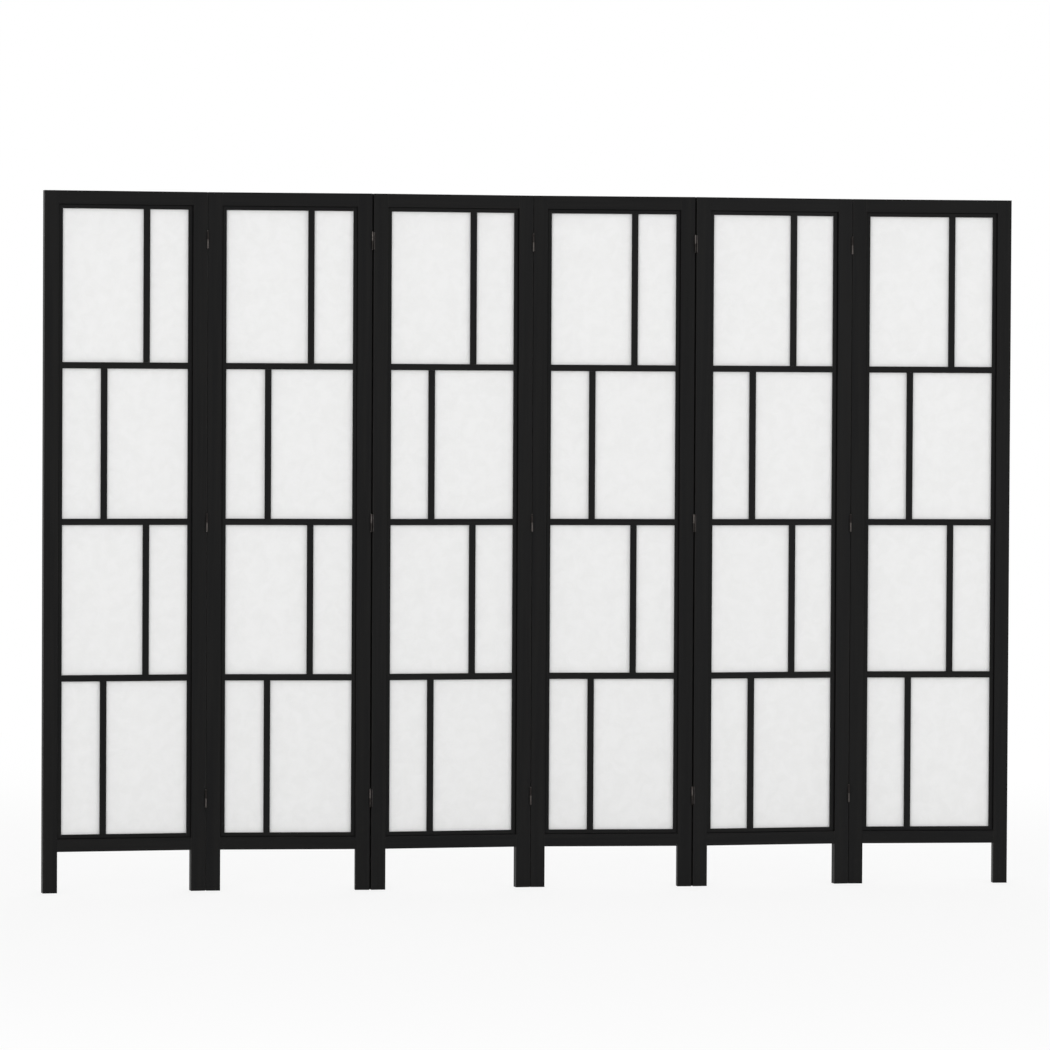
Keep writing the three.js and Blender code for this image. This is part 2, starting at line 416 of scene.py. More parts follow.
class Value:
    """A number in a node tree. Python's operators on it add Math nodes."""

    def __init__(self, nodes: "Nodes", socket: bpy.types.NodeSocket) -> None:
        """Wraps an output socket of a node tree."""
        self.nodes, self.socket = nodes, socket

    def _math(self, operation: str, *inputs: Number) -> "Value":
        """Returns the result of a Math node with this operation and these inputs."""
        return self.nodes.value("Math", {"operation": operation}, dict(enumerate(inputs)))

    def __add__(self, other: Number) -> "Value":
        """Returns self + other."""
        return self._math("ADD", self, other)

    def __radd__(self, other: Number) -> "Value":
        """Returns other + self."""
        return self._math("ADD", other, self)

    def __sub__(self, other: Number) -> "Value":
        """Returns self - other."""
        return self._math("SUBTRACT", self, other)

    def __rsub__(self, other: Number) -> "Value":
        """Returns other - self."""
        return self._math("SUBTRACT", other, self)

    def __mul__(self, other: Number) -> "Value":
        """Returns self times other."""
        return self._math("MULTIPLY", self, other)

    def __rmul__(self, other: Number) -> "Value":
        """Returns other times self."""
        return self._math("MULTIPLY", other, self)

    def band(self, low: float, high: float) -> "Value":
        """Returns a smooth step, which is 0 up to low and 1 from high on."""
        limits = {"Value": self, "From Min": low, "From Max": high}
        return self.nodes.value("MapRange", {"interpolation_type": "SMOOTHSTEP"}, limits, "Result")


class Nodes:
    """Adds nodes to the tree of one material or world."""

    def __init__(self, tree: bpy.types.NodeTree) -> None:
        """Empties the tree and keeps it."""
        self.tree = tree
        tree.nodes.clear()

    def add(self, kind: str, settings: dict[str, Any], inputs: dict[Any, Any]) -> bpy.types.Node:
        """Adds a node, sets it up and joins its inputs.

        Args:
            kind: the node's type, without the words ShaderNode that all of them start with.
            settings: attributes of the node, such as a Math node's operation.
            inputs: values, wrapped values or sockets, by the input's name or number. A colour is
                given with three numbers.

        Returns:
            The node.
        """
        made = self.tree.nodes.new("ShaderNode" + kind)
        for name, setting in settings.items():
            setattr(made, name, setting)
        for key, given in inputs.items():
            given = given.socket if isinstance(given, Value) else given
            if isinstance(given, bpy.types.NodeSocket):
                self.tree.links.new(given, made.inputs[key])
            else:
                colour = made.inputs[key].type == "RGBA"
                made.inputs[key].default_value = (*given, 1.0) if colour else given
        return made

    def value(self, kind: str, settings: dict[str, Any], inputs: dict[Any, Any], output: Any = 0) -> Value:
        """Returns one output of a new node as a number."""
        return Value(self, self.add(kind, settings, inputs).outputs[output])

    def attribute(self, name: str) -> Value:
        """Returns a number attribute of the mesh."""
        return self.value("Attribute", {"attribute_name": name}, {}, "Fac")

    def grain_place(self) -> bpy.types.NodeSocket:
        """Each point's place on its own board: along the grain, round it, and the board's number.

        Returns:
            A vector socket.
        """
        uv = self.add("UVMap", {"uv_map": "grain"}, {})
        parts = self.add("SeparateXYZ", {}, {0: uv.outputs[0]}).outputs
        joined = self.add("CombineXYZ", {}, {0: parts[0], 1: parts[1], 2: self.attribute("board")})
        return joined.outputs[0]

    def object_place(self) -> bpy.types.NodeSocket:
        """Returns the socket of the Object coordinates."""
        return self.add("TexCoord", {}, {}).outputs["Object"]

    def noise(
        self, place: bpy.types.NodeSocket, waves: Triple, detail: float, rough: float, bend: float = 0.0
    ) -> Value:
        """Noise that repeats about so many times to the metre along each axis.

        Args:
            place: a vector socket.
            waves: the number of waves to the metre along each of its axes.
            detail: how many finer layers it has.
            rough: how strong the finer layers are.
            bend: how far it is bent by itself.

        Returns:
            The noise, mostly between 0.3 and 0.7.
        """
        spread = self.add("VectorMath", {"operation": "MULTIPLY"}, {0: place, 1: waves}).outputs[0]
        inputs = {"Vector": spread, "Scale": 1.0, "Detail": detail, "Roughness": rough, "Distortion": bend}
        return self.value("TexNoise", {"noise_dimensions": "3D"}, inputs, "Fac")

    def mix(self, factor: Number, first: Any, second: Any) -> bpy.types.NodeSocket:
        """Returns the socket of two colours' mix: the first at a factor of 0 and the second at 1."""
        return self.add("Mix", {"data_type": "RGBA"}, {0: factor, 6: first, 7: second}).outputs[2]

    def bump(self, height: Value, strength: float, depth: float) -> bpy.types.NodeSocket:
        """Returns the socket of a normal bumped by a relief, where depth is what a height of 1 stands for."""
        return self.add("Bump", {}, {"Height": height, "Strength": strength, "Distance": depth}).outputs[0]

    def surface(self, inputs: dict[str, Any]) -> None:
        """Adds the surface shader with these inputs and joins it to the output."""
        made = self.add("BsdfPrincipled", {}, inputs)
        self.add("OutputMaterial", {}, {"Surface": made.outputs[0]})


def new_material(name: str) -> tuple[bpy.types.Material, Nodes]:
    """Makes an empty material.

    Args:
        name: its name.

    Returns:
        The material and its nodes.
    """
    made = bpy.data.materials.new(name)
    made.use_nodes = True
    return made, Nodes(made.node_tree)


# ---- finishes


@dataclass(frozen=True)
class BlackPaint:
    """Satin black paint sprayed on close-grained wood, whose pores still show a little.

    The fields that end in waves are the waves to the metre of a pattern along each axis.
    """

    deep: Triple = (0.0062, 0.0062, 0.0064)
    thin: Triple = (0.0088, 0.0086, 0.0084)
    rubbed: Triple = (0.0150, 0.0140, 0.0130)
    gloss: float = 0.09
    roughness: float = 0.50
    pore_depth: float = 0.12 * MM
    figure_waves: Triple = (2.6, 95.0, 7.31)
    pore_waves: Triple = (38.0, 1500.0, 3.7)
    spray_waves: Triple = (420.0, 420.0, 420.0)
    smear_waves: Triple = (9.0, 9.0, 9.0)

    def material(self) -> bpy.types.Material:
        """Paint with each board's own grain and pores, a spray texture and rubbed edges.

        Returns:
            The material.
        """
        made, nodes = new_material("black_paint_on_wood")
        place, whole = nodes.grain_place(), nodes.object_place()
        figure = nodes.noise(place, self.figure_waves, 4.0, 0.6, 0.35)
        pores = nodes.noise(place, self.pore_waves, 2.0, 0.5)
        spray = nodes.noise(whole, self.spray_waves, 2.0, 0.5)
        smear = nodes.noise(whole, self.smear_waves, 3.0, 0.55)
        open_pores = pores.band(0.56, 0.72) * figure.band(0.35, 0.62)
        edge = nodes.attribute("worn").band(0.55, 1.0) * smear.band(0.42, 0.62)
        body = nodes.mix(figure.band(0.32, 0.68), self.deep, self.thin)
        relief = figure * 0.35 - open_pores * 0.8 + spray * 0.12
        nodes.surface({
            "Base Color": nodes.mix(edge * 0.7, body, self.rubbed),
            "Roughness": self.roughness + (figure - 0.5) * 0.16 + (smear - 0.5) * 0.12 - edge * 0.08,
            "Specular IOR Level": self.gloss,
            "Normal": nodes.bump(relief, 0.55, self.pore_depth),
        })
        return made


class SeamTone(Enum):
    """How a panel's hinged edges are toned: paler to paint light into the shaded seams, or darker to paint
    shade into them.
    """

    # painted light: paler edges that lift the shade inside the seams where they show
    THIN = "thin"
    # painted shade: darker edges that deepen the shade inside the seams where they show
    FULL = "full"


@dataclass(frozen=True)
class PaintedSeamTone:
    """Matt black on the hinged edges, paler or darker than the satin paint, which paints light or shade into
    the seams between the panels.
    """

    coat: SeamTone
    dark: Triple
    pale: Triple
    gloss: float = 0.02
    roughness: float = 0.88
    grain_depth: float = 0.15 * MM
    figure_waves: Triple = (3.1, 120.0, 5.3)
    pore_waves: Triple = (42.0, 1300.0, 2.9)

    def material(self) -> bpy.types.Material:
        """Paint with next to no gloss, through which the wood's long grain shows.

        Returns:
            The material.
        """
        # the material of the hinged edges, whose tone paints light or shade into the seams
        made, nodes = new_material(f"flat_black_{self.coat.value}")
        place = nodes.grain_place()
        figure = nodes.noise(place, self.figure_waves, 4.0, 0.6, 0.4)
        pores = nodes.noise(place, self.pore_waves, 2.0, 0.5)
        nodes.surface({
            "Base Color": nodes.mix(figure.band(0.34, 0.66), self.dark, self.pale),
            "Roughness": self.roughness + (figure - 0.5) * 0.15,
            "Specular IOR Level": self.gloss,
            "Normal": nodes.bump(figure * 0.5 - pores.band(0.55, 0.7) * 0.7, 0.5, self.grain_depth),
        })
        return made


PAINTED_SEAM_TONES = (
    # paler, for odd panels: painted light in the seams' shade
    PaintedSeamTone(SeamTone.THIN, (0.0280, 0.0276, 0.0270), (0.0360, 0.0352, 0.0342)),
    # darker than the satin paint, for even panels: painted shade in the seams
    PaintedSeamTone(SeamTone.FULL, (0.0050, 0.0050, 0.0051), (0.0070, 0.0069, 0.0068)),
)


@dataclass(frozen=True)
class ShojiPaper:
    """White fibre paper that lets a little light through."""

    sheet: Triple = (0.845, 0.845, 0.842)
    fibre: Triple = (0.885, 0.885, 0.88)
    cloud: Triple = (0.815, 0.815, 0.81)
    gloss: float = 0.12
    roughness: float = 0.86
    depth: float = 0.05 * MM
    soak: float = 0.4  # the share of the light that goes into the paper
    soak_depth: float = 1.0 * MM
    cloud_waves: Triple = (34.0, 34.0, 5.1)
    steep_waves: Triple = (55.0, 900.0, 2.3)
    level_waves: Triple = (900.0, 55.0, 9.7)
    tooth_waves: Triple = (1700.0, 1700.0, 1.0)

    def material(self) -> bpy.types.Material:
        """Paper with faint clouds and long fibres that lie every way.

        Returns:
            The material.
        """
        made, nodes = new_material("shoji_paper")
        place = nodes.grain_place()
        clouds = nodes.noise(place, self.cloud_waves, 4.0, 0.6, 0.6)
        steep, level = (
            nodes.noise(place, waves, 2.0, 0.5, 1.6).band(0.60, 0.70)
            for waves in (self.steep_waves, self.level_waves)
        )
        tooth = nodes.noise(place, self.tooth_waves, 2.0, 0.6)
        fibres = (steep + level) * 0.5
        ground = nodes.mix(clouds.band(0.30, 0.70), self.cloud, self.sheet)
        nodes.surface({
            "Base Color": nodes.mix(fibres * 0.8, ground, self.fibre),
            "Roughness": self.roughness + (clouds - 0.5) * 0.1,
            "Specular IOR Level": self.gloss,
            "Subsurface Weight": self.soak,
            "Subsurface Scale": self.soak_depth,
            "Subsurface Radius": (1.0, 1.0, 1.0),
            "Normal": nodes.bump(tooth * 0.5 + fibres * 0.6, 0.4, self.depth),
        })
        return made


class MetalAge(Enum):
    """How dark a hinge part has been made."""

    LEAF = "leaf"
    LINK = "link"
    PIN = "pin"
    SCREW = "screw"


@dataclass(frozen=True)
class HingeMetal:
    """Antique bronze plating, darkened where hands don't rub it."""

    age: MetalAge
    plating: Triple
    patina: Triple
    roughness: float
    relief: float = 0.03 * MM
    cloud_waves: Triple = (240.0, 240.0, 160.0)
    scratch_waves: Triple = (3200.0, 3200.0, 90.0)
    rubbed_gain: float = 1.5  # how much paler the plating is where it is rubbed

    def material(self) -> bpy.types.Material:
        """Metal with patina in clouds, fine scratches and bright rubbed edges.

        Returns:
            The material.
        """
        made, nodes = new_material(f"bronze_{self.age.value}")
        place = nodes.object_place()
        clouds = nodes.noise(place, self.cloud_waves, 4.0, 0.6, 0.4)
        scratch = nodes.noise(place, self.scratch_waves, 2.0, 0.5)
        edge = nodes.attribute("worn").band(0.5, 1.0) * clouds.band(0.35, 0.6)
        body = nodes.mix(clouds.band(0.36, 0.66), self.patina, self.plating)
        bright = tuple(self.rubbed_gain * c for c in self.plating)
        nodes.surface({
            "Base Color": nodes.mix(edge * 0.6, body, bright),
            "Metallic": 1.0,
            "Roughness": self.roughness + (clouds - 0.5) * 0.2 + (scratch - 0.5) * 0.14,
            "Normal": nodes.bump(scratch * 0.4 + clouds * 0.5, 0.35, self.relief),
        })
        return made


METALS = (
    HingeMetal(MetalAge.LEAF, (0.100, 0.090, 0.085), (0.060, 0.053, 0.050), 0.42),
    HingeMetal(MetalAge.LINK, (0.034, 0.030, 0.028), (0.020, 0.018, 0.017), 0.50),
    HingeMetal(MetalAge.PIN, (0.120, 0.108, 0.100), (0.070, 0.062, 0.058), 0.36),
    HingeMetal(MetalAge.SCREW, (0.190, 0.172, 0.160), (0.110, 0.098, 0.090), 0.34),
)


class Finishes:
    """The materials of the whole screen, made once."""

    def __init__(self) -> None:
        """Makes each material."""
        self.paint = BlackPaint().material()
        # the hinged edges' tones, which paint light or shade into the seams
        self.painted_seam_tone = {paint.coat: paint.material() for paint in PAINTED_SEAM_TONES}
        self.paper = ShojiPaper().material()
        self.metal = {metal.age: metal.material() for metal in METALS}

    def dress(self, piece: bpy.types.Object, *materials: bpy.types.Material) -> None:
        """Gives a piece its material, and any second one that marked faces take."""
        for material in materials:
            piece.data.materials.append(material)


# ---- the screen's own places


def turn_of(panel: int) -> float:
    """Returns a panel's turn about the upright at rest: one way for odd panels, the other for even ones."""
    return REST_TURN if panel % 2 else -REST_TURN


class Layout:
    """Where the panels and the hinges stand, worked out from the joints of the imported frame."""

    def __init__(self, joints: Sequence[dict[str, Any]]) -> None:
        """Keeps the place of each pin line by its joint's name."""
        self.pins = {j["name"]: np.array(j["pos_m"], float) for j in joints}

    def seat(self, pins: str, x: float, y: float, z: float, turn: float) -> Place:
        """Returns the place, at height z and turned, of a frame in which a joint's pins stand at x and y."""
        corner = self.pins[pins] - Place(ORIGIN, turn).carry(np.array([x, y, 0.0]))
        return Place((float(corner[0]), float(corner[1]), z), turn)

    def panel(self, number: int) -> Place:
        """A panel's place, from the pins on its right edge, or for the last panel on its left edge.

        Args:
            number: the panel, from 1 at the left.

        Returns:
            The place of its lower left front corner.
        """
        turn, half_gap = turn_of(number), PANEL_GAP / 2
        if number < PANEL_COUNT:
            return self.seat(f"front_pins_{number}", PANEL_WIDTH + half_gap, -PIN_STANDOFF, 0.0, turn)
        return self.seat(f"back_pins_{number - 1}", -half_gap, FRAME_DEPTH + PIN_STANDOFF, 0.0, turn)


# ---- hinges


@dataclass
class Hinge:
    """One double-acting hinge: two leaves let into the stiles' edges, a link between them, and two pins."""

    line: int
    height: HingeHeight
    tall: float = 42.0 * MM
    span: float = 30.0 * MM  # from the front pin's axis to the back pin's
    leaf_face: float = 0.8 * MM
    leaf_thickness: float = 1.0 * MM
    leaf_margin: float = 2.6 * MM  # from a pin's axis to the leaf's plate
    plate_ease: float = 0.2 * MM
    link_thickness: float = 1.0 * MM
    link_margin: float = 2.6 * MM  # from a pin's axis to the link's plate
    tongue_bite: float = 1.5 * MM  # how far the link's tongues reach into its plate
    tongue_relief: float = 0.03 * MM
    knuckle_outer: float = 2.2 * MM
    knuckle_inner: float = 1.2 * MM
    knuckle_spacing: float = 0.4 * MM
    knuckle_start: float = 4.2 * MM  # where a leaf begins to bend round its pin
    barrel_ease: float = 0.25 * MM
    pin_radius: float = 1.05 * MM
    pin_head: float = 1.65 * MM
    pin_neck: float = 0.12 * MM
    pin_dome: float = 0.7 * MM
    screw_radius: float = 2.6 * MM
    screw_dome: float = 0.12 * MM
    recess: float = 1.75 * MM
    recess_wall: float = 0.35 * MM
    slot_half: float = 0.42 * MM
    slot_depth: float = 0.45 * MM
    screw_places: tuple[tuple[float, float], ...] = ((9.0, -15.0), (21.0, -6.0), (9.0, 6.0), (21.0, 15.0))

    @property
    def leaf_half(self) -> Half:
        """The half that the front leaf's knuckle takes: the bottom one on odd lines."""
        return Half.BOTTOM if self.line % 2 else Half.TOP

    def half_range(self, half: Half) -> tuple[float, float]:
        """Returns the lower and upper end of the knuckle on one half."""
        near, far = self.knuckle_spacing / 2, self.tall / 2
        return (near, far) if half is Half.TOP else (-far, -near)

    def leaf_shells(self, half: Half) -> list[Shell]:
        """A leaf in the front leaf's position: its plate and its rolled knuckle.

        Args:
            half: the half that its knuckle takes.

        Returns:
            The two closed shells.
        """
        far_x, near_x = -self.leaf_face - self.leaf_thickness, -self.leaf_face
        low = (far_x, self.leaf_margin, -self.tall / 2)
        high = (near_x, self.span - self.leaf_margin, self.tall / 2)
        plate = board(low, high, Grain.UPRIGHT, self.plate_ease, 1.0)
        roll = (self.knuckle_outer + self.knuckle_inner) / 2
        wall = self.knuckle_outer - self.knuckle_inner
        middle_x = (far_x + near_x) / 2
        return [plate, rolled_knuckle(middle_x, roll, wall, self.knuckle_start, *self.half_range(half))]

    def pin_shell(self) -> Shell:
        """A pin with two low domed heads: the radius against height of a turned piece.

        A head's dome follows h = d sqrt(1 - (r / R)^2) from its rim of radius R to its middle.

        Returns:
            The closed shell about the front pin's axis.
        """
        end, neck_run = self.tall / 2, 0.3 * MM
        share = np.array([1.0, 0.92, 0.75, 0.5, 0.22, 0.06])
        dome = end + self.pin_neck + self.pin_dome * np.sqrt(1.0 - share**2)
        rim = self.pin_head * 0.97
        radius = np.concatenate(([self.pin_radius, self.pin_radius, rim], self.pin_head * share))
        height = np.concatenate(([end - neck_run, end, end], dome))
        return turned_piece(np.append(radius[::-1], radius), np.append(-height[::-1], height), 20)

    def screw_shell(self, y: float, z: float) -> Shell:
        """A countersunk screw's head, flush in the front leaf's inner face, with a cross cut into it.

        The head is the dome h = d (1 - (r / R)^2). The cross lowers it where r is within the recess and
        the smaller of |u| and |v| is under a slot's half width.

        Args:
            y: the screw's place across the leaf.
            z: its place up the leaf.

        Returns:
            The closed shell in the hinge's frame.
        """
        sides, sunk, turn, slot_curve = 32, 0.6 * MM, 0.5, 0.6
        share = np.array([1.0, 1.0, 0.97, 0.86, 0.72, 0.66, 0.5, 0.36, 0.28, 0.16, 0.03])
        radius = self.screw_radius * share
        rise = self.screw_dome * (1.0 - share**2)
        rise[0] = -sunk
        angle = np.linspace(0.0, 2 * math.pi, sides, endpoint=False) + turn
        beside = np.minimum(abs(np.cos(angle)), abs(np.sin(angle))) * radius[:, None]
        slot = np.clip(1.0 - beside / self.slot_half, 0.0, 1.0) ** slot_curve
        within = np.clip((self.recess - radius) / self.recess_wall, 0.0, 1.0)[:, None]
        relief = -self.slot_depth * slot * within
        head = turned_piece(radius, rise, sides, relief)
        head.points = head.points[:, [2, 0, 1]] + np.array([-self.leaf_face, y, z])
        return head

    def link_shells(self) -> list[Shell]:
        """The link: its plate, two tongues that reach into the barrels, and the barrels themselves.

        Returns:
            The closed shells in the hinge's frame.
        """
        end, half = self.link_margin, self.tall / 2
        root = (self.knuckle_inner + self.knuckle_outer) / 2
        front, back = self.half_range(self.leaf_half.other()), self.half_range(self.leaf_half)

        def plate(y0: float, y1: float, ends: tuple[float, float], relief: float) -> Shell:
            """Returns one flat piece of the link, its sides drawn in by relief."""
            x, (low, high) = self.link_thickness / 2 - relief, ends
            return board((-x, y0, low + relief), (x, y1, high - relief), Grain.UPRIGHT, self.plate_ease, 2.0)

        barrels = [
            barrel(self.knuckle_inner, self.knuckle_outer, *ends, self.barrel_ease) for ends in (front, back)
        ]
        return [
            plate(end, self.span - end, (-half, half), 0.0),
            plate(root, end + self.tongue_bite, front, self.tongue_relief),
            plate(self.span - end - self.tongue_bite, self.span - root, back, self.tongue_relief),
            barrels[0],
            barrels[1].moved(Place((0.0, self.span, 0.0))),
        ]

    def build(self, layout: Layout, finishes: Finishes) -> list[bpy.types.Object]:
        """Builds and dresses the hinge's seven pieces and rides each on its body.

        The link of an odd line rests against the panel on its right, and that of an even line
        against the one on its left.

        Args:
            layout: the places of the pins.
            finishes: the materials.

        Returns:
            The pieces.
        """
        turns = turn_of(self.line), turn_of(self.line + 1)
        here = layout.seat(f"front_pins_{self.line}", 0.0, 0.0, self.height.value, turns[0])
        there = layout.seat(f"back_pins_{self.line}", 0.0, self.span, self.height.value, turns[1])
        linked = replace(here, turn=turns[self.line % 2])
        title, plan = f"{self.line}_{self.height.name.lower()}", []
        for end, half, places, panel in (
            ("front", self.leaf_half, [here], self.line),
            ("back", self.leaf_half.other(), [Place((0.0, self.span, 0.0), math.pi), there], self.line + 1),
        ):
            for part, shells, age in (
                ("leaf", self.leaf_shells(half), MetalAge.LEAF),
                ("pin", [self.pin_shell()], MetalAge.PIN),
                ("screws", [self.screw_shell(y * MM, z * MM) for y, z in self.screw_places], MetalAge.SCREW),
            ):
                plan.append((f"{end}_{part}", shells, places, age, f"panel_{panel}"))
        plan.insert(3, ("middle_link", self.link_shells(), [linked], MetalAge.LINK, f"links_{self.line}"))
        made = []
        for name, shells, places, age, body in plan:
            for place in places:
                shells = [shell.moved(place) for shell in shells]
            piece = build_object(f"bronze_{title}_{name}", shells)
            finishes.dress(piece, finishes.metal[age])
            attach(piece, body)
            if name == "middle_link":
                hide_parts(f"hinge_{title}_link")
            made.append(piece)
        return made


# ---- panels


@dataclass
class Panel:
    """One panel: two stiles, two rails, a lattice and the paper on the lattice's back."""

    number: int
    width: float = PANEL_WIDTH
    tall: float = 1700.0 * MM
    depth: float = FRAME_DEPTH
    stile: float = 35.0 * MM
    top_rail: float = 32.5 * MM
    bottom_rail: float = 30.5 * MM
    foot: float = 100.0 * MM
    ease: float = 0.38 * MM
    glue_line: float = 0.04 * MM
    lattice_front: float = 6.0 * MM
    lattice_back: float = 13.0 * MM
    groove: float = 0.8 * MM
    groove_depth: float = 2.8 * MM
    border: float = 10.6 * MM  # from the frame's opening to the border's inner edge
    bar: float = 15.5 * MM
    bar_offset: float = 52.0 * MM
    rows: int = 4
    paper_thickness: float = 0.4 * MM
    paper_size: tuple[float, float] = (326.8 * MM, 1533.8 * MM)
    paper_grid: tuple[int, int] = (61, 181)
    ripple: float = 0.22 * MM
    ripple_reach: float = 28.0 * MM  # from a strip's edge to where the ripples are full
    hinge_tall: float = 42.8 * MM
    housing: float = 1.3 * MM

    @property
    def opening(self) -> tuple[float, float, float, float]:
        """The left, right, bottom and top of the frame's opening."""
        return self.stile, self.width - self.stile, self.foot + self.bottom_rail, self.tall - self.top_rail

    def board_number(self, piece: int) -> float:
        """Returns a number for one of this panel's boards that no other board has."""
        return 0.37 + 31.0 * self.number + 1.7 * piece

    def stile_shells(self, side: Side) -> list[Shell]:
        """A stile, with housings for the leaves on a hinged edge, whose faces take a second material, toned
        to paint light or shade into the seam.

        Args:
            side: which stile.

        Returns:
            Its one shell, in the panel's frame.
        """
        left = side is Side.LEFT
        hinged = self.number > 1 if left else self.number < PANEL_COUNT
        half, least_tilt = self.hinge_tall / 2, 0.1
        cuts = [(side, self.housing, h.value - half, h.value + half) for h in HingeHeight] if hinged else []
        x0 = 0.0 if left else self.width - self.stile
        low, high = (x0, 0.0, 0.0), (x0 + self.stile, self.depth, self.tall)
        shell = board(low, high, Grain.UPRIGHT, self.ease, self.board_number(0 if left else 1), cuts)
        if hinged:
            corner = shell.points[shell.quads]
            normal = np.cross(corner[:, 2] - corner[:, 0], corner[:, 3] - corner[:, 1])
            sideways = normal[:, 0] / np.linalg.norm(normal, axis=1)
            # faces of the hinged edge, which take the tone that paints light or shade into the seam
            shell.seam_tone_faces = (-sideways if left else sideways) > least_tilt
        return [shell]

    def rail_shells(self, top: bool) -> list[Shell]:
        """A rail that fills the width between the stiles.

        Args:
            top: whether it is the top rail.

        Returns:
            Its one shell, in the panel's frame.
        """
        left, right, bottom, upper = self.opening
        z0, z1, piece = (upper, self.tall, 2) if top else (self.foot, bottom, 3)
        low, high = (left + self.glue_line, 0.0, z0), (right - self.glue_line, self.depth, z1)
        return [board(low, high, Grain.LEVEL, self.ease * 0.8, self.board_number(piece))]

    def windows(self) -> list[tuple[float, float, float, float]]:
        """The windows of the lattice, row by row from the top.

        The rows are equally high. The upright bar stands right of the middle in the top row, left of
        it in the next, and so on down.

        Returns:
            The left, right, bottom and top of each window.
        """
        inwards = (self.border, -self.border, self.border, -self.border)
        left, right, bottom, top = (edge + step for edge, step in zip(self.opening, inwards))
        pitch, half = (top - bottom) / self.rows, self.bar / 2
        found = []
        for row in range(self.rows):
            high = top - row * pitch - (half if row else 0.0)
            low = top - (row + 1) * pitch + (half if row < self.rows - 1 else 0.0)
            bar = self.width / 2 + (-self.bar_offset if row % 2 else self.bar_offset)
            found += [(left, bar - half, low, high), (bar + half, right, low, high)]
        return found

    def lattice_shells(self) -> list[Shell]:
        """The lattice's strips: the border, its back edges, and row by row the bars.

        A groove parts the border from the frame at the front. Behind it the back edges reach the frame,
        so no light passes.

        Returns:
            One shell for each strip, in the panel's frame.
        """
        left, right, bottom, top = self.opening
        y0, y1, deep = self.lattice_front, self.lattice_back, self.lattice_front + self.groove_depth
        t, rim, e, first_piece = self.glue_line, self.border, self.ease, 10
        rings = (self.groove, rim, y0, y1, t, e), (t, rim / 2, deep, y1 - t, 0.0, e / 2)
        plan: list[tuple[Triple, Triple, Grain, float]] = []
        for out, into, face, back, gap, ease in rings:
            for x0, x1 in ((left + out, left + into), (right - into, right - out)):
                plan.append(((x0, face, bottom + out), (x1, back, top - out), Grain.UPRIGHT, ease))
            for z0, z1 in ((bottom + out, bottom + into), (top - into, top - out)):
                low, high = (left + into + gap, face, z0), (right - into - gap, back, z1)
                plan.append((low, high, Grain.LEVEL, ease))
        windows = self.windows()
        for row in range(self.rows):
            (_, x0, low, high), (x1, _, _, _) = windows[2 * row : 2 * row + 2]
            plan.append(((x0, y0, low + t), (x1, y1, high - t), Grain.UPRIGHT, e))
            if row:
                above = windows[2 * row - 2][2]
                plan.append(((left + rim + t, y0, high), (right - rim - t, y1, above), Grain.LEVEL, e))
        return [board(*strip, self.board_number(first_piece + n)) for n, strip in enumerate(plan)]

    def paper_shells(self) -> list[Shell]:
        """The paper: one loop, front and back, carried up the panel, with slow ripples in the windows.

        The ripple is A m (1 + (sin(17 x + 3 z + n) + sin(9 z - 11 x + 2 n)) / 2), where m is the product
        of the smooth steps 3s^2 - 2s^3 from a window's four edges.

        Returns:
            The sheet's one shell, in the panel's frame.
        """
        wide, tall = self.paper_size
        x0, z0 = (self.width - wide) / 2, sum(self.opening[2:]) / 2 - tall / 2
        up = z0 + tall * np.linspace(0.0, 1.0, self.paper_grid[1])
        x, z = np.meshgrid(x0 + wide * np.linspace(0.0, 1.0, self.paper_grid[0]), up)
        rise = np.zeros_like(x)
        for left, right, low, high in self.windows():
            inside = np.stack((x - left, right - x, z - low, high - z))
            s = np.clip(inside / self.ripple_reach, 0.0, 1.0)
            rise = np.maximum(rise, np.prod(3 * s**2 - 2 * s**3, axis=0))
        n = self.number
        wave = (np.sin(17 * x + 3 * z + n) + np.sin(9 * z - 11 * x + 2 * n)) / 2
        front = self.lattice_back + self.glue_line + self.ripple * rise * (1 + wave)
        back = front + self.paper_thickness
        loop = np.concatenate((x, x[:, ::-1]), 1), np.concatenate((front, back[:, ::-1]), 1)
        shell = carried(np.stack(loop, -1), up[:, None] * Z_AXIS, X_AXIS, Y_AXIS, up)
        return [replace(shell, board=self.board_number(9))]

    def build(self, layout: Layout, finishes: Finishes) -> list[bpy.types.Object]:
        """Builds, dresses and rides the panel's six pieces.

        Args:
            layout: the places of the panels.
            finishes: the materials.

        Returns:
            The pieces.
        """
        # odd panels' hinged edges take the paler tone, painted light in the seams; even panels' the darker
        # one, painted shade
        edge = finishes.painted_seam_tone[SeamTone.THIN if self.number % 2 else SeamTone.FULL]
        stile_coats, coat, place = (finishes.paint, edge), (finishes.paint,), layout.panel(self.number)
        plan = [
            ("left_stile", self.stile_shells(Side.LEFT), stile_coats),
            ("right_stile", self.stile_shells(Side.RIGHT), stile_coats),
            ("top_rail", self.rail_shells(True), coat),
            ("bottom_rail", self.rail_shells(False), coat),
            ("lattice", self.lattice_shells(), coat),
            ("paper", self.paper_shells(), (finishes.paper,)),
        ]
        made = []
        for name, shells, coats in plan:
            paper = name == "paper"
            title = f"{'sheet' if paper else 'wood'}_{self.number}_{name}"
            piece = build_object(title, [shell.moved(place) for shell in shells])
            finishes.dress(piece, *coats)
            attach(piece, f"panel_{self.number}")
            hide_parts(f"panel_{self.number}_{name}")
            made.append(piece)
        return made


# ---- camera, light and floor


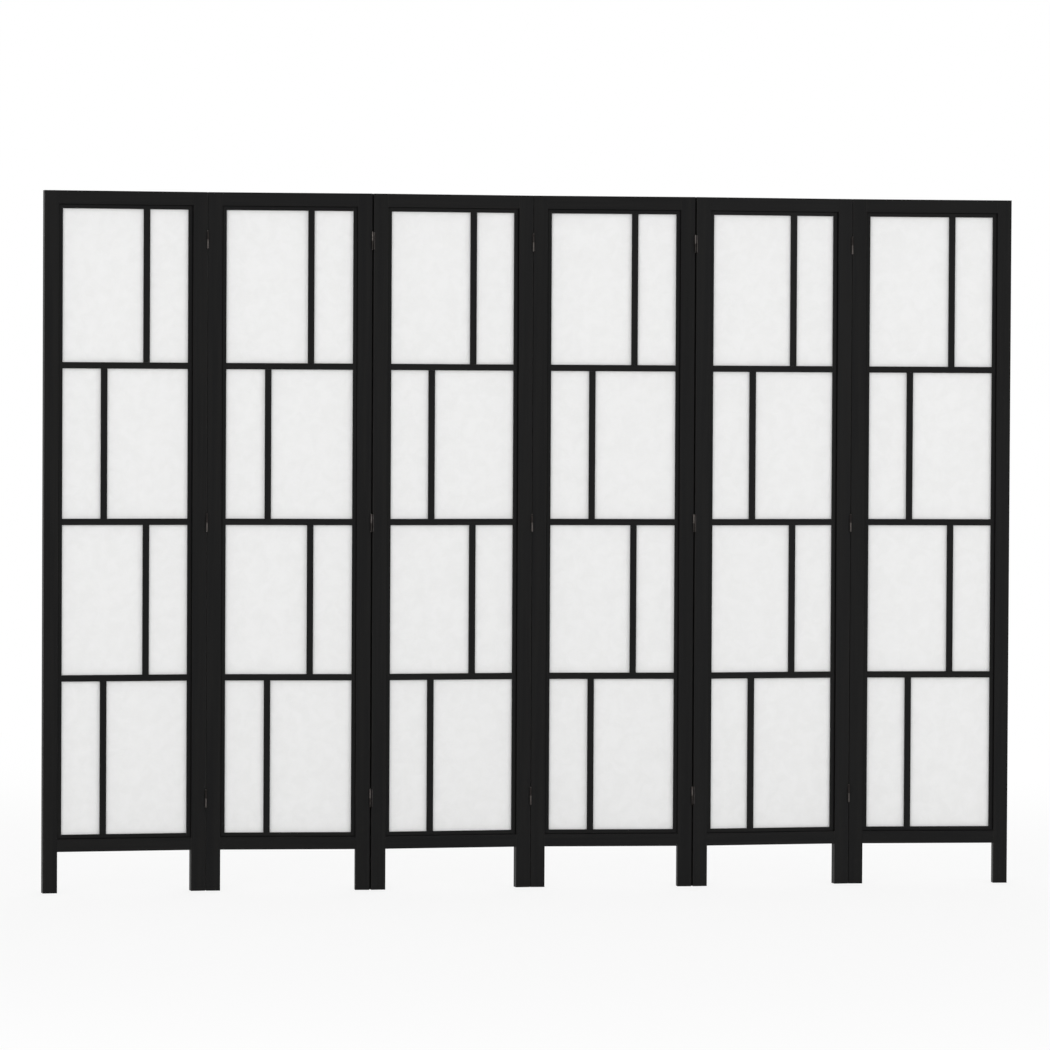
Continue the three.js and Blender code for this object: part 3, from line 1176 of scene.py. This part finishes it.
@dataclass(frozen=True)
class PhotoCamera:
    """The camera at the photograph's viewing angle."""

    focal_pixels: float = 5770.0
    sensor: float = 36.0
    yaw: float = math.radians(-10.46)
    pitch: float = math.radians(1.53)  # downwards
    roll: float = math.radians(0.30)
    place: Triple = (-2.590, -13.933, 1.270)
    reach: float = 200.0

    def build(self) -> None:
        """Makes the camera: rolled about its own axis, tipped down by the pitch and turned by the yaw."""
        data = bpy.data.cameras.new("photo_camera")
        data.sensor_width, data.clip_end = self.sensor, self.reach
        data.lens = self.sensor * self.focal_pixels / IMAGE_WIDTH
        upright = Matrix.Rotation(self.yaw, 4, "Z") @ Matrix.Rotation(math.pi / 2 - self.pitch, 4, "X")
        made = bpy.data.objects.new("photo_camera", data)
        made.matrix_world = Matrix.Translation(self.place) @ upright @ Matrix.Rotation(self.roll, 4, "Z")
        bpy.context.scene.collection.objects.link(made)
        bpy.context.scene.camera = made


@dataclass(frozen=True)
class SoftBox:
    """A large soft lamp that points at the middle of the screen."""

    name: str
    place: Triple
    size: float
    power: float
    aim: Triple = (0.0, 0.0, 0.85)

    def build(self) -> None:
        """Makes the lamp."""
        data = bpy.data.lights.new(self.name, "AREA")
        data.shape, data.size, data.energy = "SQUARE", self.size, self.power
        made = bpy.data.objects.new(self.name, data)
        made.rotation_euler = (Vector(self.aim) - Vector(self.place)).to_track_quat("-Z", "Y").to_euler()
        made.location = self.place
        bpy.context.scene.collection.objects.link(made)


@dataclass(frozen=True)
class Studio:
    """A pale floor, a white surround and soft lamps on every side."""

    floor_size: float = 60.0
    floor_colour: Triple = (0.92, 0.92, 0.92)
    white: Triple = (1.0, 1.0, 1.0)
    floor_glow: float = 0.80
    glow_reach: tuple[float, float] = (2.0, 6.0)  # where the floor starts and ends turning all white
    surround: float = 0.66
    lamps: tuple[SoftBox, ...] = (
        SoftBox("key", (-3.8, -5.8, 2.5), 3.0, 100.0),
        SoftBox("fill", (4.4, -5.2, 1.8), 3.4, 76.0),
        SoftBox("rear", (1.5, 5.6, 2.9), 3.4, 110.0),
    )

    def seen_directly(self, nodes: Nodes) -> Value:
        """Tells the rays that see a surface from those that light one.

        Args:
            nodes: the tree that asks.

        Returns:
            1 for camera, glossy and transmission rays, and 0 for all others.
        """
        path = nodes.add("LightPath", {}, {}).outputs
        rays = [Value(nodes, path[f"Is {kind} Ray"]) for kind in ("Camera", "Glossy", "Transmission")]
        return (rays[0] + rays[1] + rays[2]).band(0.0, 1.0)

    def build_world(self) -> None:
        """Makes the surround: white where it is seen, and of a plain level where it lights."""
        world = bpy.data.worlds.new("white_surround")
        bpy.context.scene.world = world
        world.use_nodes = True
        nodes = Nodes(world.node_tree)
        strength = self.seen_directly(nodes) * (1.0 - self.surround) + self.surround
        back = nodes.add("Background", {}, {"Color": self.white, "Strength": strength})
        nodes.add("OutputWorld", {}, {"Surface": back.outputs[0]})

    def build_floor(self) -> None:
        """Makes the floor, near white where it is seen but with the screen's shadow on it."""
        half = self.floor_size / 2
        mesh = bpy.data.meshes.new("pale_floor")
        corners = [(-half, -half, 0.0), (half, -half, 0.0), (half, half, 0.0), (-half, half, 0.0)]
        mesh.from_pydata(corners, [], [(0, 1, 2, 3)])
        floor = bpy.data.objects.new("pale_floor", mesh)
        bpy.context.scene.collection.objects.link(floor)
        material, nodes = new_material("pale_floor")
        matt = nodes.add("BsdfDiffuse", {}, {"Color": self.floor_colour})
        glow = nodes.add("Emission", {}, {"Color": self.white, "Strength": 1.0})
        away = nodes.value("VectorMath", {"operation": "LENGTH"}, {0: nodes.object_place()}, "Value")
        far = away.band(*self.glow_reach)
        share = self.seen_directly(nodes) * (far * (1.0 - self.floor_glow) + self.floor_glow)
        both = nodes.add("MixShader", {}, {0: share, 1: matt.outputs[0], 2: glow.outputs[0]})
        nodes.add("OutputMaterial", {}, {"Surface": both.outputs[0]})
        mesh.materials.append(material)

    def build(self) -> None:
        """Makes the surround, the floor and the lamps, and sets the view's colours."""
        self.build_world()
        self.build_floor()
        for lamp in self.lamps:
            lamp.build()
        bpy.context.scene.view_settings.view_transform = "Standard"


# ---- the whole scene


def report(pieces: Sequence[bpy.types.Object]) -> int:
    """Counts the triangles of the pieces.

    Args:
        pieces: the finished pieces.

    Returns:
        The number of their triangles together.
    """
    total = 0
    for piece in pieces:
        count = sum(len(p.vertices) - 2 for p in piece.data.polygons)
        total += count
    return total


def main() -> None:
    """Builds the camera, the studio, the panels and the hinges."""
    logging.basicConfig(level=logging.INFO, format="%(message)s")
    PhotoCamera().build()
    Studio().build()
    finishes, layout = Finishes(), Layout(frame["joints"])
    total = 0
    for number in range(1, PANEL_COUNT + 1):
        total += report(Panel(number).build(layout, finishes))
    for line in range(1, PANEL_COUNT):
        for height in HingeHeight:
            total += report(Hinge(line, height).build(layout, finishes))
    log.info("the screen has %d triangles", total)


if __name__ == "__main__":
    main()
